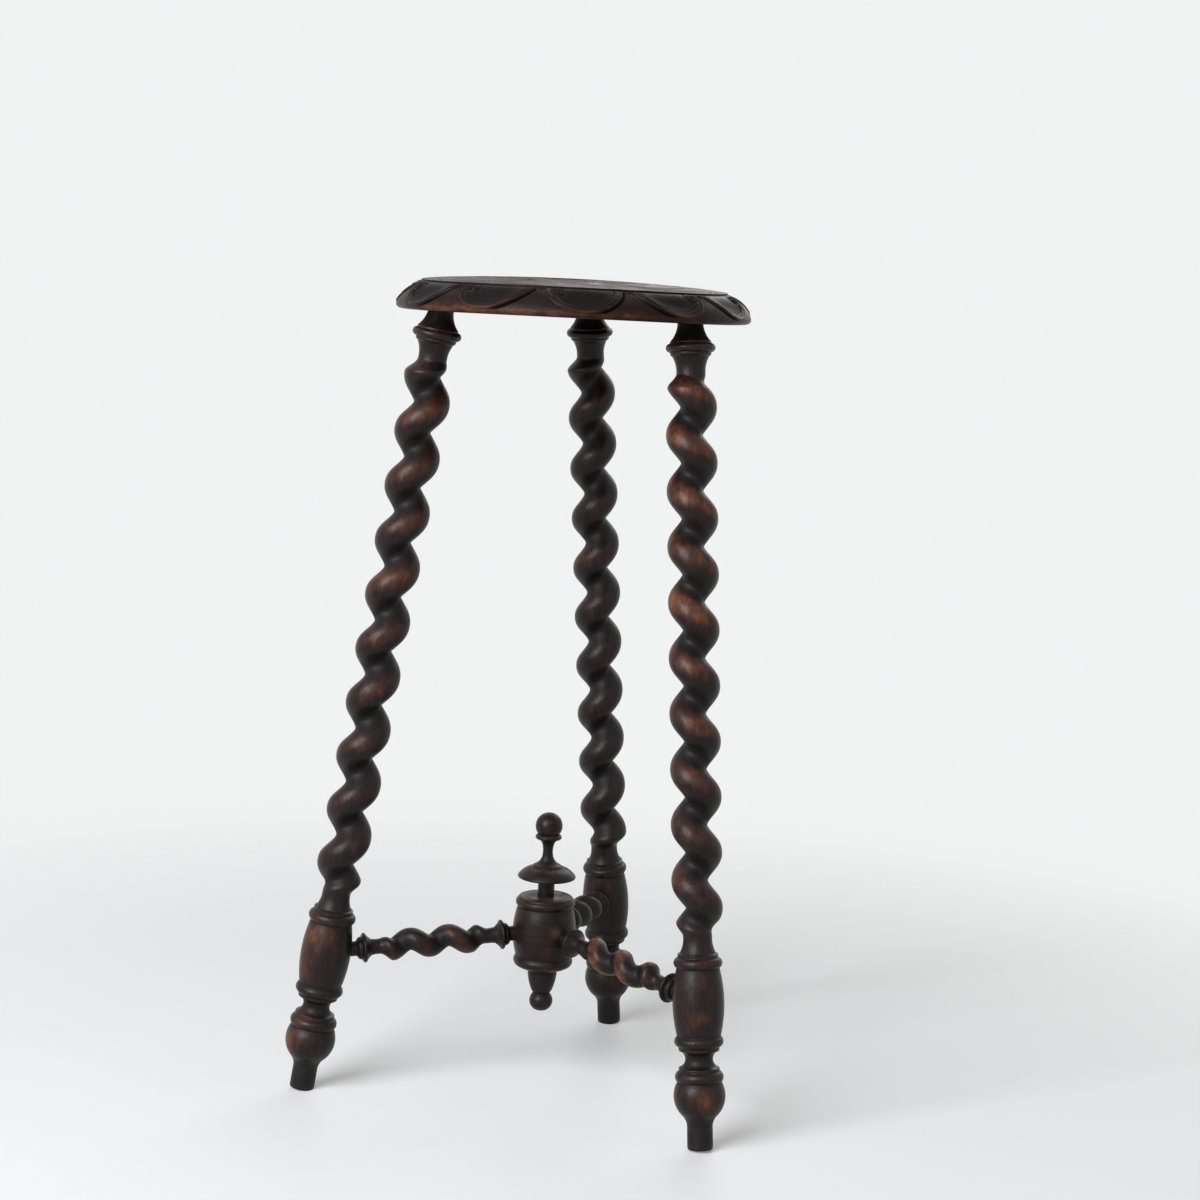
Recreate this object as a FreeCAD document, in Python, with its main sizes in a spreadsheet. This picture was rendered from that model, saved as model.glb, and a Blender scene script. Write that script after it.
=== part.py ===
import FreeCAD, Part
import math
import os
import Sketcher
from FreeCAD import Placement, Rotation, Vector

# A three-legged oak stool: round carved seat, three splayed barley-twist legs, and three
# twisted stretchers that meet in a turned hub. Millimetres, +Z up, the floor at Z = 0, and
# the origin on the stool's own axis.

doc = FreeCAD.newDocument("spindle_stool")
sheet = doc.addObject("Spreadsheet::Sheet", "dims")

# Driving dimensions that stand alone: name, value, meaning
SIZES = (
    ("stool_height", 710, "floor to the top of the seat"),
    ("seat_thickness", 25, "seat, underside to top"),
    ("foot_circle", 210, "radius of the circle on which the leg axes meet the floor"),
    ("head_circle", 121, "radius of the circle on which they meet the seat"),
    ("leg_skew", 12, "degrees the leg heads are turned round past their feet"),
    ("front_leg_angle", -48.5, "degrees from +X to the front leg's foot"),
    ("foot_wear", 0.7, "depth worn off the low corner of each foot"),
    ("leg_tenon_length", 15, "leg tenon inside the seat, along the leg"),
    ("leg_crest", 21.4, "radius of the leg's twist at the crest"),
    ("leg_flank", 17, "radius of the leg's twist midway from crest to groove"),
    ("leg_root", 9.2, "radius of the leg's twist at the bottom of the groove"),
    ("leg_neck", 12.2, "radius of the necks at both ends of the twist"),
    ("leg_neck_rim", 15.4, "radius of the necks where they flare into the rings"),
    ("leg_cove", 12, "length of that flare"),
    ("leg_plain", 14, "length of the neck before the twist begins"),
    ("leg_fade", 14, "length in which the twist grows out of the neck"),
    ("socket_height", 124.6, "foot to the stretcher socket, along the leg"),
    ("stretcher_crest", 13.6, "radius of the stretcher's twist at the crest"),
    ("stretcher_flank", 10.8, "radius of the stretcher's twist midway to the groove"),
    ("stretcher_root", 5.9, "radius of the stretcher's twist in the groove"),
    ("stretcher_pitch", 33.8, "one turn of the stretcher's twist"),
    ("stretcher_waist", 6.6, "radius of the waists beside the twist"),
    ("stretcher_plain", 4, "length of the waist before the twist begins"),
    ("stretcher_fade", 13, "length in which the twist grows out of the waist"),
    ("leg_tenon_stop", 8, "stretcher tenon stops this far from the leg's axis"),
    ("hub_tenon_stop", 13, "stretcher tenon stops this far from the hub's axis"),
    ("hub_centre", 140.6, "floor to the stretchers' meeting point in the hub"),
    ("hub_socket_height", 34.6, "hub's underside to that meeting point"),
    ("finial_tenon", 12, "finial spigot inside the hub"),
    ("finial_ball", 11.9, "radius of the finial's ball"),
    ("finial_ball_seat", 4.4, "how far the ball sinks into the lip below it"),
    ("pendant_tenon", 11, "pendant spigot inside the hub"),
    ("glue_gap", 0.1, "room for glue round each tenon"),
    ("tenon_end_gap", 0.5, "room beyond the end of each tenon"),
    ("shaft_overlap", 1.5, "length of a twisted shaft that runs on inside the turned ends"),
    ("drill_reach", 43, "length of a socket's drill, from its bottom to the open"),
    ("trim_width", 86, "side of the block that trims a foot level with the floor"),
    ("trim_depth", 20, "depth of that block"),
)

# Turned outlines, from the lower end up. The first line is the radius of the end face. Each
# line after it is one element: name, length along the axis, radius at its end, rise of its
# curve (full where positive, hollow where negative, straight where None). A length of None
# is a flat step, and a radius of None stays as it was.
LEG_FOOT = (
    ("end", 9.6),
    ("nose", 1.4, 10.8, 0.4),
    ("peg", 18.6, None, None),
    ("hollow", 9, 15.2, -0.9),
    ("bulb", 27.8, 18.6, 4.75),
    ("foot_ring", 9.2, 17.2, 2.5),
    ("foot_fillet", 2.8, None, None),
    ("ankle", 14.4, None, -5.6),
    ("ankle_fillet", 3, None, None),
    ("low_ring", 8.8, 18.4, 2.9),
    ("barrel", 57.4, 18, 3.5),
    ("high_ring", 8.8, 17, 3),
    ("high_fillet", 3.2, None, None),
)
LEG_COLLAR = (
    ("end", 15.4),
    ("under_bead", 3.4, 17, 0.9),
    ("collar_bead", 7.4, 17.4, 3.6),
    ("collar_fillet", 1.4, None, None),
    ("throat", 15.4, 10.8, -1.6),
    ("shoulder", 1, None, None),
)
SEAT = (
    ("underside", 149.6),
    ("lower_edge", 4.2, 152.5, 0.9),
    ("ovolo", 19.1, 133, 3.4),
    ("tread", None, 131, None),
    ("riser", 1.7, None, None),
)
STRETCHER_END = (
    ("tenon_end", 5.9),
    ("tenon_nose", 0.8, 6.5, None),
    ("neck", 18, None, None),
    ("bead_foot", 3.2, 10, 0.7),
    ("bead_groove", 0.6, 9.6, None),
    ("bead_front", 1.4, 11.8, None),
    ("bead_rim", 3.2, None, 1.3),
    ("bead_back", 4.8, 6.9, -0.3),
    ("waist_end", 2, None, None),
)
HUB = (
    ("underside", 12.9),
    ("bowl", 3.8, 24.4, 0.9),
    ("low_bead", 8, 24.3, 1.9),
    ("barrel", 45.2, 24.2, 3.65),
    ("top_bead", 7, 24.4, 2),
    ("top_edge", 2, 21.8, 0.6),
)
FINIAL = (
    ("end", 6.7),
    ("nose", 0.6, 7.3, None),
    ("spigot", 27.9, None, None),
    ("cap_underside", None, 24.6, None),
    ("brim", 2.4, 25.2, 0.7),
    ("cap", 7.2, 14.6, 1.1),
    ("cap_crease", 0.3, 13.4, None),
    ("dome", 2.2, 11, 0.3),
    ("stem_foot", 6.7, 5, -0.9),
    ("stem", 10.5, None, -0.6),
    ("lip_underside", 5.8, 10.8, -1.3),
    ("lip", 3.6, 10.2, 1.1),
    ("seam", 0.5, 8.6, None),
)
PENDANT = (
    ("tip", 5.4),
    ("ball", 15.4, 7, 4.1),
    ("shoulder", 4.6, 9.9, 0.4),
    ("taper", 17.4, 13.1, 0.8),
    ("seat_step", None, 6, None),
)
TURNINGS = {
    "leg_foot": LEG_FOOT,
    "leg_collar": LEG_COLLAR,
    "seat": SEAT,
    "stretcher_end": STRETCHER_END,
    "hub": HUB,
    "finial": FINIAL,
    "pendant": PENDANT,
}
# Each leg: name, hand of its twist (1 right, -1 left), one turn of it, the height along the
# leg at which its groove passes the left side, and the length along its stretcher's shaft at
# which that groove faces down
LEGS = (
    ("front", -1, 46.4, 619.6, 16.9),
    ("back", 1, 46.8, 614, 25),
    ("left", 1, 47.6, 609.6, 33.8),
)
STRETCHER_HAND = 1
# Degrees round a shaft, from its local +X
LEFT_SIDE = 180
LOWER_SIDE = -90
# Spline surfaces of the twists: control points round the shaft and along each turn
DEGREE = 3
SURFACE_COLUMNS = 24
ROWS_PER_TURN = 16


# The sheet

def enter(alias, value, meaning):
    """Add one named size to the sheet."""
    row = enter.row
    enter.row += 1
    sheet.set(f"A{row}", alias)
    sheet.set(f"B{row}", str(value))
    sheet.set(f"C{row}", meaning)
    sheet.setAlias(f"B{row}", alias)


enter.row = 1
for alias, value, meaning in SIZES:
    enter(alias, value, meaning)
for name, hand, pitch, leg_groove, stretcher_groove in LEGS:
    enter(f"leg_{name}_pitch", pitch, "one turn of this leg's twist")
    enter(f"leg_{name}_groove", leg_groove, "foot to where its groove passes the left side")
    enter(f"stretcher_{name}_groove", stretcher_groove, "shaft's start to where its groove faces down")
for piece, turning in TURNINGS.items():
    start_name, start_radius = turning[0]
    enter(f"{piece}_{start_name}_radius", start_radius, "radius of the end face")
    for element, length, radius, rise in turning[1:]:
        if length is not None:
            enter(f"{piece}_{element}_length", length, "length along the axis")
        if radius is not None:
            enter(f"{piece}_{element}_radius", radius, "radius at its end")
        if rise is not None:
            enter(f"{piece}_{element}_rise", rise, "rise of its curve")
doc.recompute()


def size(alias):
    """Value of one named size."""
    return float(sheet.get(alias))


def cell(alias):
    """The same size as an expression."""
    return f"dims.{alias}"


# Turned pieces

def outline(piece):
    """Points of a turned outline: radius cell, height cells, and the curve that leads there."""
    turning = TURNINGS[piece]
    start_name, start_radius = turning[0]
    radius_cell = f"{piece}_{start_name}_radius"
    height_cells = []
    points = [(radius_cell, (), None, None)]
    for element, length, radius, rise in turning[1:]:
        length_cell = None
        if length is not None:
            length_cell = f"{piece}_{element}_length"
            height_cells.append(length_cell)
        if radius is not None:
            radius_cell = f"{piece}_{element}_radius"
        rise_cell = None if rise is None else f"{piece}_{element}_rise"
        points.append((radius_cell, tuple(height_cells), length_cell, rise_cell))
    return points


def turned_length(piece):
    """Length of a whole turning."""
    return sum(size(alias) for alias in outline(piece)[-1][1])


def turned_body(piece):
    """Revolve one turning about the Z axis of a body of its own."""
    body = doc.addObject("PartDesign::Body", f"{piece}_turning")
    plane = [item for item in body.Origin.OriginFeatures if item.Role == "XZ_Plane"][0]
    sketch = body.newObject("Sketcher::SketchObject", f"{piece}_outline")
    sketch.AttachmentSupport = (plane, [""])
    sketch.MapMode = "FlatFace"

    corners = outline(piece)
    places = [
        Vector(size(radius), sum(size(alias) for alias in heights), 0)
        for radius, heights, length, rise in corners
    ]
    on_axis = Vector(0, places[-1].y, 0)
    geometry = [Part.LineSegment(Vector(), places[0])]
    for number in range(1, len(corners)):
        geometry.append(outline_edge(places[number - 1], places[number], corners[number][3]))
    geometry.append(Part.LineSegment(places[-1], on_axis))
    geometry.append(Part.LineSegment(on_axis, Vector()))
    sketch.addGeometry(geometry, False)
    bind_outline(sketch, corners, edge_ends(sketch, len(geometry)))

    revolution = body.newObject("PartDesign::Revolution", f"{piece}_revolution")
    revolution.Profile = sketch
    revolution.ReferenceAxis = (sketch, ["V_Axis"])
    revolution.Angle = 360
    body.Tip = revolution
    return body


def outline_edge(start, end, rise_cell):
    """Line, or arc with the given rise, from one outline point to the next."""
    if rise_cell is None:
        return Part.LineSegment(start, end)
    along_edge = end - start
    outward = Vector(along_edge.y, -along_edge.x, 0).normalize()
    middle = (start + end) * 0.5 + outward * size(rise_cell)
    return Part.Arc(start, middle, end)


def edge_ends(sketch, count):
    """For each edge, which of its two sketch points comes first along the outline."""
    ends = []
    reached = Vector()
    for number in range(count):
        forward = (sketch.getPoint(number, 1) - reached).Length
        backward = (sketch.getPoint(number, 2) - reached).Length
        pair = (1, 2) if forward <= backward else (2, 1)
        ends.append(pair)
        reached = sketch.getPoint(number, pair[1])
    return ends


def bind_outline(sketch, corners, joins):
    """Tie every point and arc of the outline to the sheet."""
    origin = (-1, 1)
    base_edge = -1
    axis_edge = -2
    named = []
    plain = [Sketcher.Constraint("Coincident", 0, joins[0][0], *origin)]
    for number in range(len(joins) - 1):
        plain.append(
            Sketcher.Constraint(
                "Coincident", number, joins[number][1], number + 1, joins[number + 1][0]
            )
        )
    last = len(joins) - 1
    plain.append(Sketcher.Constraint("Coincident", last, joins[last][1], *origin))
    for edge, (radius, heights, length, rise) in enumerate(corners):
        point = (edge, joins[edge][1])
        place = sketch.getPoint(*point)
        named.append(("DistanceX", origin + point, place.x, cell(radius)))
        climb = " + ".join(cell(alias) for alias in heights)
        if heights:
            named.append(("DistanceY", origin + point, place.y, climb))
        else:
            plain.append(Sketcher.Constraint("PointOnObject", *point, base_edge))
        if rise:
            before = corners[edge - 1][0]
            chord = f"(({cell(radius)} - {cell(before)})^2 + {cell(length)}^2)"
            curve = f"{chord} / (8 * abs({cell(rise)})) + abs({cell(rise)}) / 2"
            named.append(("Radius", (edge,), sketch.Geometry[edge].Radius, curve))
    top = (last, joins[last][0])
    plain.append(Sketcher.Constraint("PointOnObject", *top, axis_edge))
    named.append(("DistanceY", origin + top, sketch.getPoint(*top).y, climb))
    made = [Sketcher.Constraint(kind, *items, value) for kind, items, value, text in named]
    sketch.addConstraint(plain + made)
    for offset, (kind, items, value, text) in enumerate(named):
        sketch.setExpression(f"Constraints[{len(plain) + offset}]", text)


# Twisted shafts

def ease(share):
    """Smooth rise from 0 to 1."""
    share = min(max(share, 0.0), 1.0)
    return share * share * (3 - 2 * share)


def plain_radius(kind, from_end):
    """Radius of a shaft without its twist, at a distance from the shaft's end."""
    if kind == "stretcher":
        return size("stretcher_waist")
    short = min(max(1 - from_end / size("leg_cove"), 0.0), 1.0)
    neck = size("leg_neck")
    return neck + (size("leg_neck_rim") - neck) * short * short


def twist_radius(kind, angle, from_end):
    """Radius of a twisted shaft, at an angle from its groove and a distance from its end."""
    crest = size(f"{kind}_crest")
    root = size(f"{kind}_root")
    half_flank = size(f"{kind}_flank") / 2
    middle = (crest + root) / 4
    swing = (crest - root) / 2
    strand = middle + half_flank - swing * math.cos(angle)
    strand += (middle - half_flank) * math.cos(2 * angle)
    plain = plain_radius(kind, from_end)
    grown = ease((from_end - size(f"{kind}_plain")) / size(f"{kind}_fade"))
    return plain + grown * (strand - plain)


def pole_swell(step):
    """How much further out than its curve a ring of control points lies, one step apart."""
    return 3 / (2 + math.cos(step))


def clamped_knots(count):
    """Even knots of a spline with this many control points that ends on the outer ones."""
    knots = [float(number) for number in range(count - DEGREE + 1)]
    repeats = [1] * len(knots)
    repeats[0] = DEGREE + 1
    repeats[-1] = DEGREE + 1
    return knots, repeats


def twisted_shaft(label, kind, length, hand, pitch, groove_height, groove_angle):
    """Shaft with one strand wound round it, on rows of control points that turn with it."""
    overlap = size("shaft_overlap")
    row_count = int(math.ceil(length / pitch * ROWS_PER_TURN))
    heights = [-overlap]
    heights += [length * row / row_count for row in range(row_count + 1)]
    heights += [length + overlap]
    swell = pole_swell(2 * math.pi / SURFACE_COLUMNS)
    swell *= pole_swell(2 * math.pi * length / row_count / pitch)
    rows = []
    for height in heights:
        turn = math.radians(groove_angle) + hand * 2 * math.pi * (height - groove_height) / pitch
        row = []
        for column in range(SURFACE_COLUMNS + 1):
            angle = 2 * math.pi * (column % SURFACE_COLUMNS) / SURFACE_COLUMNS
            radius = swell * twist_radius(kind, angle, min(height, length - height))
            row.append(Vector(radius * math.cos(turn + angle), radius * math.sin(turn + angle), height))
        rows.append(row)
    surface = Part.BSplineSurface()
    along, along_repeats = clamped_knots(len(rows))
    around, around_repeats = clamped_knots(SURFACE_COLUMNS + 1)
    surface.buildFromPolesMultsKnots(
        rows, along_repeats, around_repeats, along, around, False, False, DEGREE, DEGREE
    )
    shaft = doc.addObject("Part::Feature", label)
    shaft.Shape = closed_shaft(surface)
    return shaft


def closed_shaft(surface):
    """Solid inside the surface, in patches of half a turn by half the girth, with flat ends."""
    along = surface.getUKnots()
    around = surface.getVKnots()
    half_turn = ROWS_PER_TURN // 2
    cuts = along[:-half_turn:half_turn] + [along[-1]]
    middle = around[len(around) // 2]
    halves = ((around[0], middle), (middle, around[-1]))
    faces = []
    for low, high in zip(cuts, cuts[1:]):
        for left, right in halves:
            patch = surface.copy()
            patch.segment(low, high, left, right)
            faces.append(patch.toShape())
    for end in (along[0], along[-1]):
        ring = surface.uIso(end)
        faces.append(Part.Face(Part.Wire([ring.toShape(left, right) for left, right in halves])))
    shell = Part.makeShell(faces)
    shell.sewShape()
    solid = Part.makeSolid(shell)
    if solid.Volume < 0:
        solid.reverse()
    return solid


# Places

def line_up(start, end, across):
    """Placement at start with local Z towards end and local Y near the given direction."""
    axis = (end - start).normalize()
    side = across.cross(axis).normalize()
    return Placement(start, Rotation(side, axis.cross(side), axis, "ZXY"))


def leg_axis(number):
    """Where one leg's axis meets the floor and the seat."""
    foot_angle = math.radians(size("front_leg_angle") + 360 / len(LEGS) * number)
    head_angle = foot_angle + math.radians(size("leg_skew"))
    underside = size("stool_height") - size("seat_thickness")
    foot = Vector(math.cos(foot_angle), math.sin(foot_angle), 0) * size("foot_circle")
    head = Vector(math.cos(head_angle), math.sin(head_angle), 0) * size("head_circle")
    return foot, head + Vector(0, 0, underside)


def leg_placement(number):
    """Leg's own frame: origin at the foot's end, lifted so that only the worn corner is cut."""
    foot, head = leg_axis(number)
    axis = (head - foot).normalize()
    lean = math.hypot(axis.x, axis.y)
    lift = (size("leg_foot_nose_radius") * lean - size("foot_wear")) / axis.z
    return line_up(foot + axis * lift, head, Vector(0, 1, 0))


def stretcher_line(number):
    """Where one stretcher's axis meets its leg's axis and the hub's axis."""
    at_leg = leg_placement(number).multVec(Vector(0, 0, size("socket_height")))
    return at_leg, Vector(0, 0, size("hub_centre"))


# Drilled and cut pieces

def drill(label, radius_text, length_text, placement):
    """Round cutter along local Z of the given placement."""
    cutter = doc.addObject("Part::Cylinder", label)
    cutter.setExpression("Radius", radius_text)
    cutter.setExpression("Height", length_text)
    cutter.Placement = placement
    return cutter


def cut_piece(label, base, cutters, placement):
    """Take cutters from a base and put the piece in its place."""
    tools = doc.addObject("Part::MultiFuse", f"{label}_cutters")
    tools.Shapes = cutters
    piece = doc.addObject("Part::Cut", label)
    piece.Base = base
    piece.Tool = tools
    piece.Label = label
    piece.Placement = placement
    return piece


def join(label, shapes):
    """Turned ends and shaft of one length of wood."""
    joined = doc.addObject("Part::MultiFuse", label)
    joined.Shapes = shapes
    return joined


# The legs

pieces = []
foot_body = turned_body("leg_foot")
collar_body = turned_body("leg_collar")
leg_tenon = doc.addObject("Part::Cylinder", "leg_tenon")
leg_tenon.setExpression("Radius", "dims.leg_collar_throat_radius")
leg_tenon.setExpression("Height", "dims.leg_tenon_length + dims.leg_collar_shoulder_length")
foot_length = turned_length("leg_foot")
collar_length = turned_length("leg_collar")
leg_length = (leg_axis(0)[1] - leg_placement(0).Base).Length
collar_body.Placement = Placement(Vector(0, 0, leg_length - collar_length), Rotation())
tenon_base = leg_length - size("leg_collar_shoulder_length")
leg_tenon.Placement = Placement(Vector(0, 0, tenon_base), Rotation())
shaft_length = leg_length - foot_length - collar_length

socket_radius = "dims.stretcher_end_tenon_nose_radius + dims.glue_gap"
for number, (name, hand, *winding) in enumerate(LEGS):
    placement = leg_placement(number)
    shaft = twisted_shaft(
        f"leg_{name}_shaft",
        "leg",
        shaft_length,
        hand,
        size(f"leg_{name}_pitch"),
        size(f"leg_{name}_groove") - foot_length,
        LEFT_SIDE,
    )
    shaft.Placement = Placement(Vector(0, 0, foot_length), Rotation())
    joined = join(f"leg_{name}_turned", [foot_body, shaft, collar_body, leg_tenon])

    at_leg, at_hub = stretcher_line(number)
    towards_hub = (at_hub - at_leg).normalize()
    socket_end = at_leg + towards_hub * (size("leg_tenon_stop") - size("tenon_end_gap"))
    to_local = placement.inverse()
    socket = drill(
        f"leg_{name}_socket",
        socket_radius,
        "dims.drill_reach",
        to_local * line_up(socket_end, at_hub, Vector(0, 0, 1)),
    )
    floor = doc.addObject("Part::Box", f"leg_{name}_floor")
    floor.setExpression("Length", "dims.trim_width")
    floor.setExpression("Width", "dims.trim_width")
    floor.setExpression("Height", "dims.trim_depth")
    half_width = size("trim_width") / 2
    corner = leg_axis(number)[0] - Vector(half_width, half_width, size("trim_depth"))
    floor.Placement = to_local * Placement(corner, Rotation())
    pieces.append(cut_piece(f"leg_{name}", joined, [socket, floor], placement))

# The seat

seat_body = turned_body("seat")
seat_place = Placement(Vector(0, 0, size("stool_height") - size("seat_thickness")), Rotation())
seat_sockets = []
for number, leg in enumerate(LEGS):
    foot, head = leg_axis(number)
    axis = (head - foot).normalize()
    entry = head - axis * size("seat_thickness")
    seat_sockets.append(
        drill(
            f"seat_socket_{leg[0]}",
            "dims.leg_collar_throat_radius + dims.glue_gap",
            "dims.seat_thickness + dims.leg_tenon_length + dims.tenon_end_gap",
            seat_place.inverse() * line_up(entry, head, Vector(0, 1, 0)),
        )
    )
pieces.append(cut_piece("seat", seat_body, seat_sockets, seat_place))

# The stretchers

end_body = turned_body("stretcher_end")
end_length = turned_length("stretcher_end")
doc.recompute()


def stretcher_end(label, height, rotation):
    """One turned end of a stretcher, its tenon's end at a height along the stretcher."""
    end = doc.addObject("Part::Feature", label)
    end.Shape = end_body.Shape
    end.Placement = Placement(Vector(0, 0, height), rotation)
    return end


for number, leg in enumerate(LEGS):
    at_leg, at_hub = stretcher_line(number)
    placement = line_up(at_leg, at_hub, Vector(0, 0, 1))
    reach = (at_hub - at_leg).Length
    first_end = size("leg_tenon_stop")
    last_end = reach - size("hub_tenon_stop")
    near_end = stretcher_end(f"stretcher_{leg[0]}_leg_end", first_end, Rotation())
    far_end = stretcher_end(f"stretcher_{leg[0]}_hub_end", last_end, Rotation(Vector(1, 0, 0), 180))
    shaft = twisted_shaft(
        f"stretcher_{leg[0]}_shaft",
        "stretcher",
        last_end - first_end - 2 * end_length,
        STRETCHER_HAND,
        size("stretcher_pitch"),
        size(f"stretcher_{leg[0]}_groove"),
        LOWER_SIDE,
    )
    shaft.Placement = Placement(Vector(0, 0, first_end + end_length), Rotation())
    stretcher = join(f"stretcher_{leg[0]}", [near_end, shaft, far_end])
    stretcher.Placement = placement
    pieces.append(stretcher)

# The hub, with its finial and pendant

hub_body = turned_body("hub")
hub_length = turned_length("hub")
hub_place = Placement(Vector(0, 0, size("hub_centre") - size("hub_socket_height")), Rotation())
hub_sockets = []
for number, leg in enumerate(LEGS):
    at_leg, at_hub = stretcher_line(number)
    outwards = (at_leg - at_hub).normalize()
    socket_end = at_hub + outwards * (size("hub_tenon_stop") - size("tenon_end_gap"))
    hub_sockets.append(
        drill(
            f"hub_socket_{leg[0]}",
            socket_radius,
            "dims.drill_reach",
            hub_place.inverse() * line_up(socket_end, at_leg, Vector(0, 0, 1)),
        )
    )
finial_hole_depth = size("finial_tenon") + size("tenon_end_gap")
hub_sockets.append(
    drill(
        "hub_finial_socket",
        "dims.finial_nose_radius + dims.glue_gap",
        "dims.finial_tenon + 2 * dims.tenon_end_gap",
        Placement(Vector(0, 0, hub_length - finial_hole_depth), Rotation()),
    )
)
hub_sockets.append(
    drill(
        "hub_pendant_socket",
        "dims.pendant_seat_step_radius + dims.glue_gap",
        "dims.pendant_tenon + dims.tenon_end_gap",
        Placement(),
    )
)
pieces.append(cut_piece("hub", hub_body, hub_sockets, hub_place))

finial_body = turned_body("finial")
finial_length = turned_length("finial")
finial_ball = doc.addObject("Part::Sphere", "finial_ball")
finial_ball.setExpression("Radius", "dims.finial_ball")
ball_centre = finial_length + size("finial_ball") - size("finial_ball_seat")
finial_ball.Placement = Placement(Vector(0, 0, ball_centre), Rotation())
finial = join("finial", [finial_body, finial_ball])
finial_lift = hub_length - size("finial_tenon")
finial.Placement = Placement(hub_place.Base + Vector(0, 0, finial_lift), Rotation())
pieces.append(finial)

pendant_body = turned_body("pendant")
pendant_length = turned_length("pendant")
pendant_spigot = doc.addObject("Part::Cylinder", "pendant_spigot")
pendant_spigot.setExpression("Radius", "dims.pendant_seat_step_radius")
pendant_spigot.setExpression("Height", "2 * dims.pendant_tenon")
pendant_spigot.Placement = Placement(Vector(0, 0, pendant_length - size("pendant_tenon")), Rotation())
pendant = join("pendant", [pendant_body, pendant_spigot])
pendant.Placement = Placement(hub_place.Base - Vector(0, 0, pendant_length), Rotation())
pieces.append(pendant)

# Check and write

doc.recompute()
for item in doc.Objects:
    if "Invalid" in item.State or "Error" in item.State:
        raise RuntimeError(f"{item.Label} failed: {item.State}")
os.makedirs("parts", exist_ok=True)
for piece in pieces:
    shape = piece.Shape
    if shape.isNull() or not shape.isValid() or len(shape.Solids) != 1:
        raise RuntimeError(f"{piece.Label} is not one valid solid")
    print(piece.Label, round(shape.Volume / 1000, 1), "cm3")
for piece in pieces:
    piece.Shape.exportStep(f"parts/{piece.Label}.step")
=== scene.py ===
import math

import bpy
import numpy as np
from mathutils import Matrix, Vector

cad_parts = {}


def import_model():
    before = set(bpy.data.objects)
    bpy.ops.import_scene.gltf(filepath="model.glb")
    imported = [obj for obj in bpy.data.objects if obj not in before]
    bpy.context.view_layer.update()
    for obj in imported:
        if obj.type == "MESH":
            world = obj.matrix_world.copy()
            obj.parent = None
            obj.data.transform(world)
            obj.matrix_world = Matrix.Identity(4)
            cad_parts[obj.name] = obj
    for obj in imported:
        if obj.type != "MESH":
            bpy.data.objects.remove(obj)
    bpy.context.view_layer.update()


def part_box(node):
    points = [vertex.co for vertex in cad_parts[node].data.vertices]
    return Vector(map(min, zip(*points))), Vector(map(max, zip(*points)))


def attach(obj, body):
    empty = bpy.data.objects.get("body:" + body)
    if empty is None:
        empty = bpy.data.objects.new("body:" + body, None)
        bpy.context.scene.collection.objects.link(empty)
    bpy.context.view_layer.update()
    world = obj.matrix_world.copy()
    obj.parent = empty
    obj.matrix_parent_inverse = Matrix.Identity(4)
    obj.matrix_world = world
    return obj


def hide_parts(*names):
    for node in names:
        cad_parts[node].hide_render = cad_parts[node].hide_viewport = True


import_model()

# Sizes in millimetres and angles in degrees, as in the solids
MM = 0.001
FOOT_CIRCLE = 210
HEAD_CIRCLE = 121
LEG_SPACING = 120
LEG_SKEW = 12
FRONT_LEG_ANGLE = -48.5
FOOT_WEAR = 0.7
SEAT_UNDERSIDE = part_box("seat")[0].z / MM
LEG_NECK = 12.2
LEG_NECK_RIM = 15.4
LEG_COVE = 12
SOCKET_HEIGHT = 124.6
TENON_SHOWN = 3
STRETCHER_PITCH = 33.8
STRETCHER_WAIST = 6.6
LEG_TENON_STOP = 8
HUB_TENON_STOP = 13
HUB_CENTRE = 140.6
HUB_SOCKET_HEIGHT = 34.6
FINIAL_TENON = 12
FINIAL_BALL = 11.9
FINIAL_BALL_SEAT = 4.4

# Each twist: the radii of its section, the plain and the fading length at each of its ends, the
# angle in radians by which its polish and painted light sit above the crest on the lit upper flank, and
# the wear of the turned parts beside it
LEG_TWIST = {
    "crest": 21.4,
    "flank": 17,
    "root": 9.2,
    "plain": 14,
    "fade": 14,
    "lit_side": 0.75,
    "turned_wear": 0.6,
}
STRETCHER_TWIST = {
    "crest": 13.6,
    "flank": 10.8,
    "root": 5.9,
    "plain": 4,
    "fade": 13,
    "lit_side": 0,
    "turned_wear": 0.2,
}
# Each leg: hand and pitch of its twist, the height and angle at which its groove passes, and the
# strength of its wear and painted light
LEGS = {
    "front": (-1, 46.4, 619.6, 180, 1.0),
    "back": (1, 46.8, 614, 180, 0.22),
    "left": (1, 47.6, 609.6, 180, 0.7),
}
# Rubbed spots on each leg: height along it, angle about it, radius and strength
LEG_SPOTS = {
    "front": ((42, -78, 10, 0.8), (112, -92, 9, 0.7), (160, -60, 8, 0.4)),
    "back": ((45, -70, 10, 0.5), (130, 60, 14, 0.6)),
    "left": ((45, -140, 13, 0.8), (68, -110, 9, 0.6), (140, -150, 20, 0.7), (112, -150, 12, 0.6)),
}
# Each stretcher: length along its twist at which the groove faces down, and its wear
STRETCHERS = {"front": (16.9, 1.2), "back": (25, 0.2), "left": (33.8, 0.7)}
# Smears of old glue on the hub: height along it, angle about it and radius
GLUE_SMEARS = ((39, -66, 4.5),)

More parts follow.
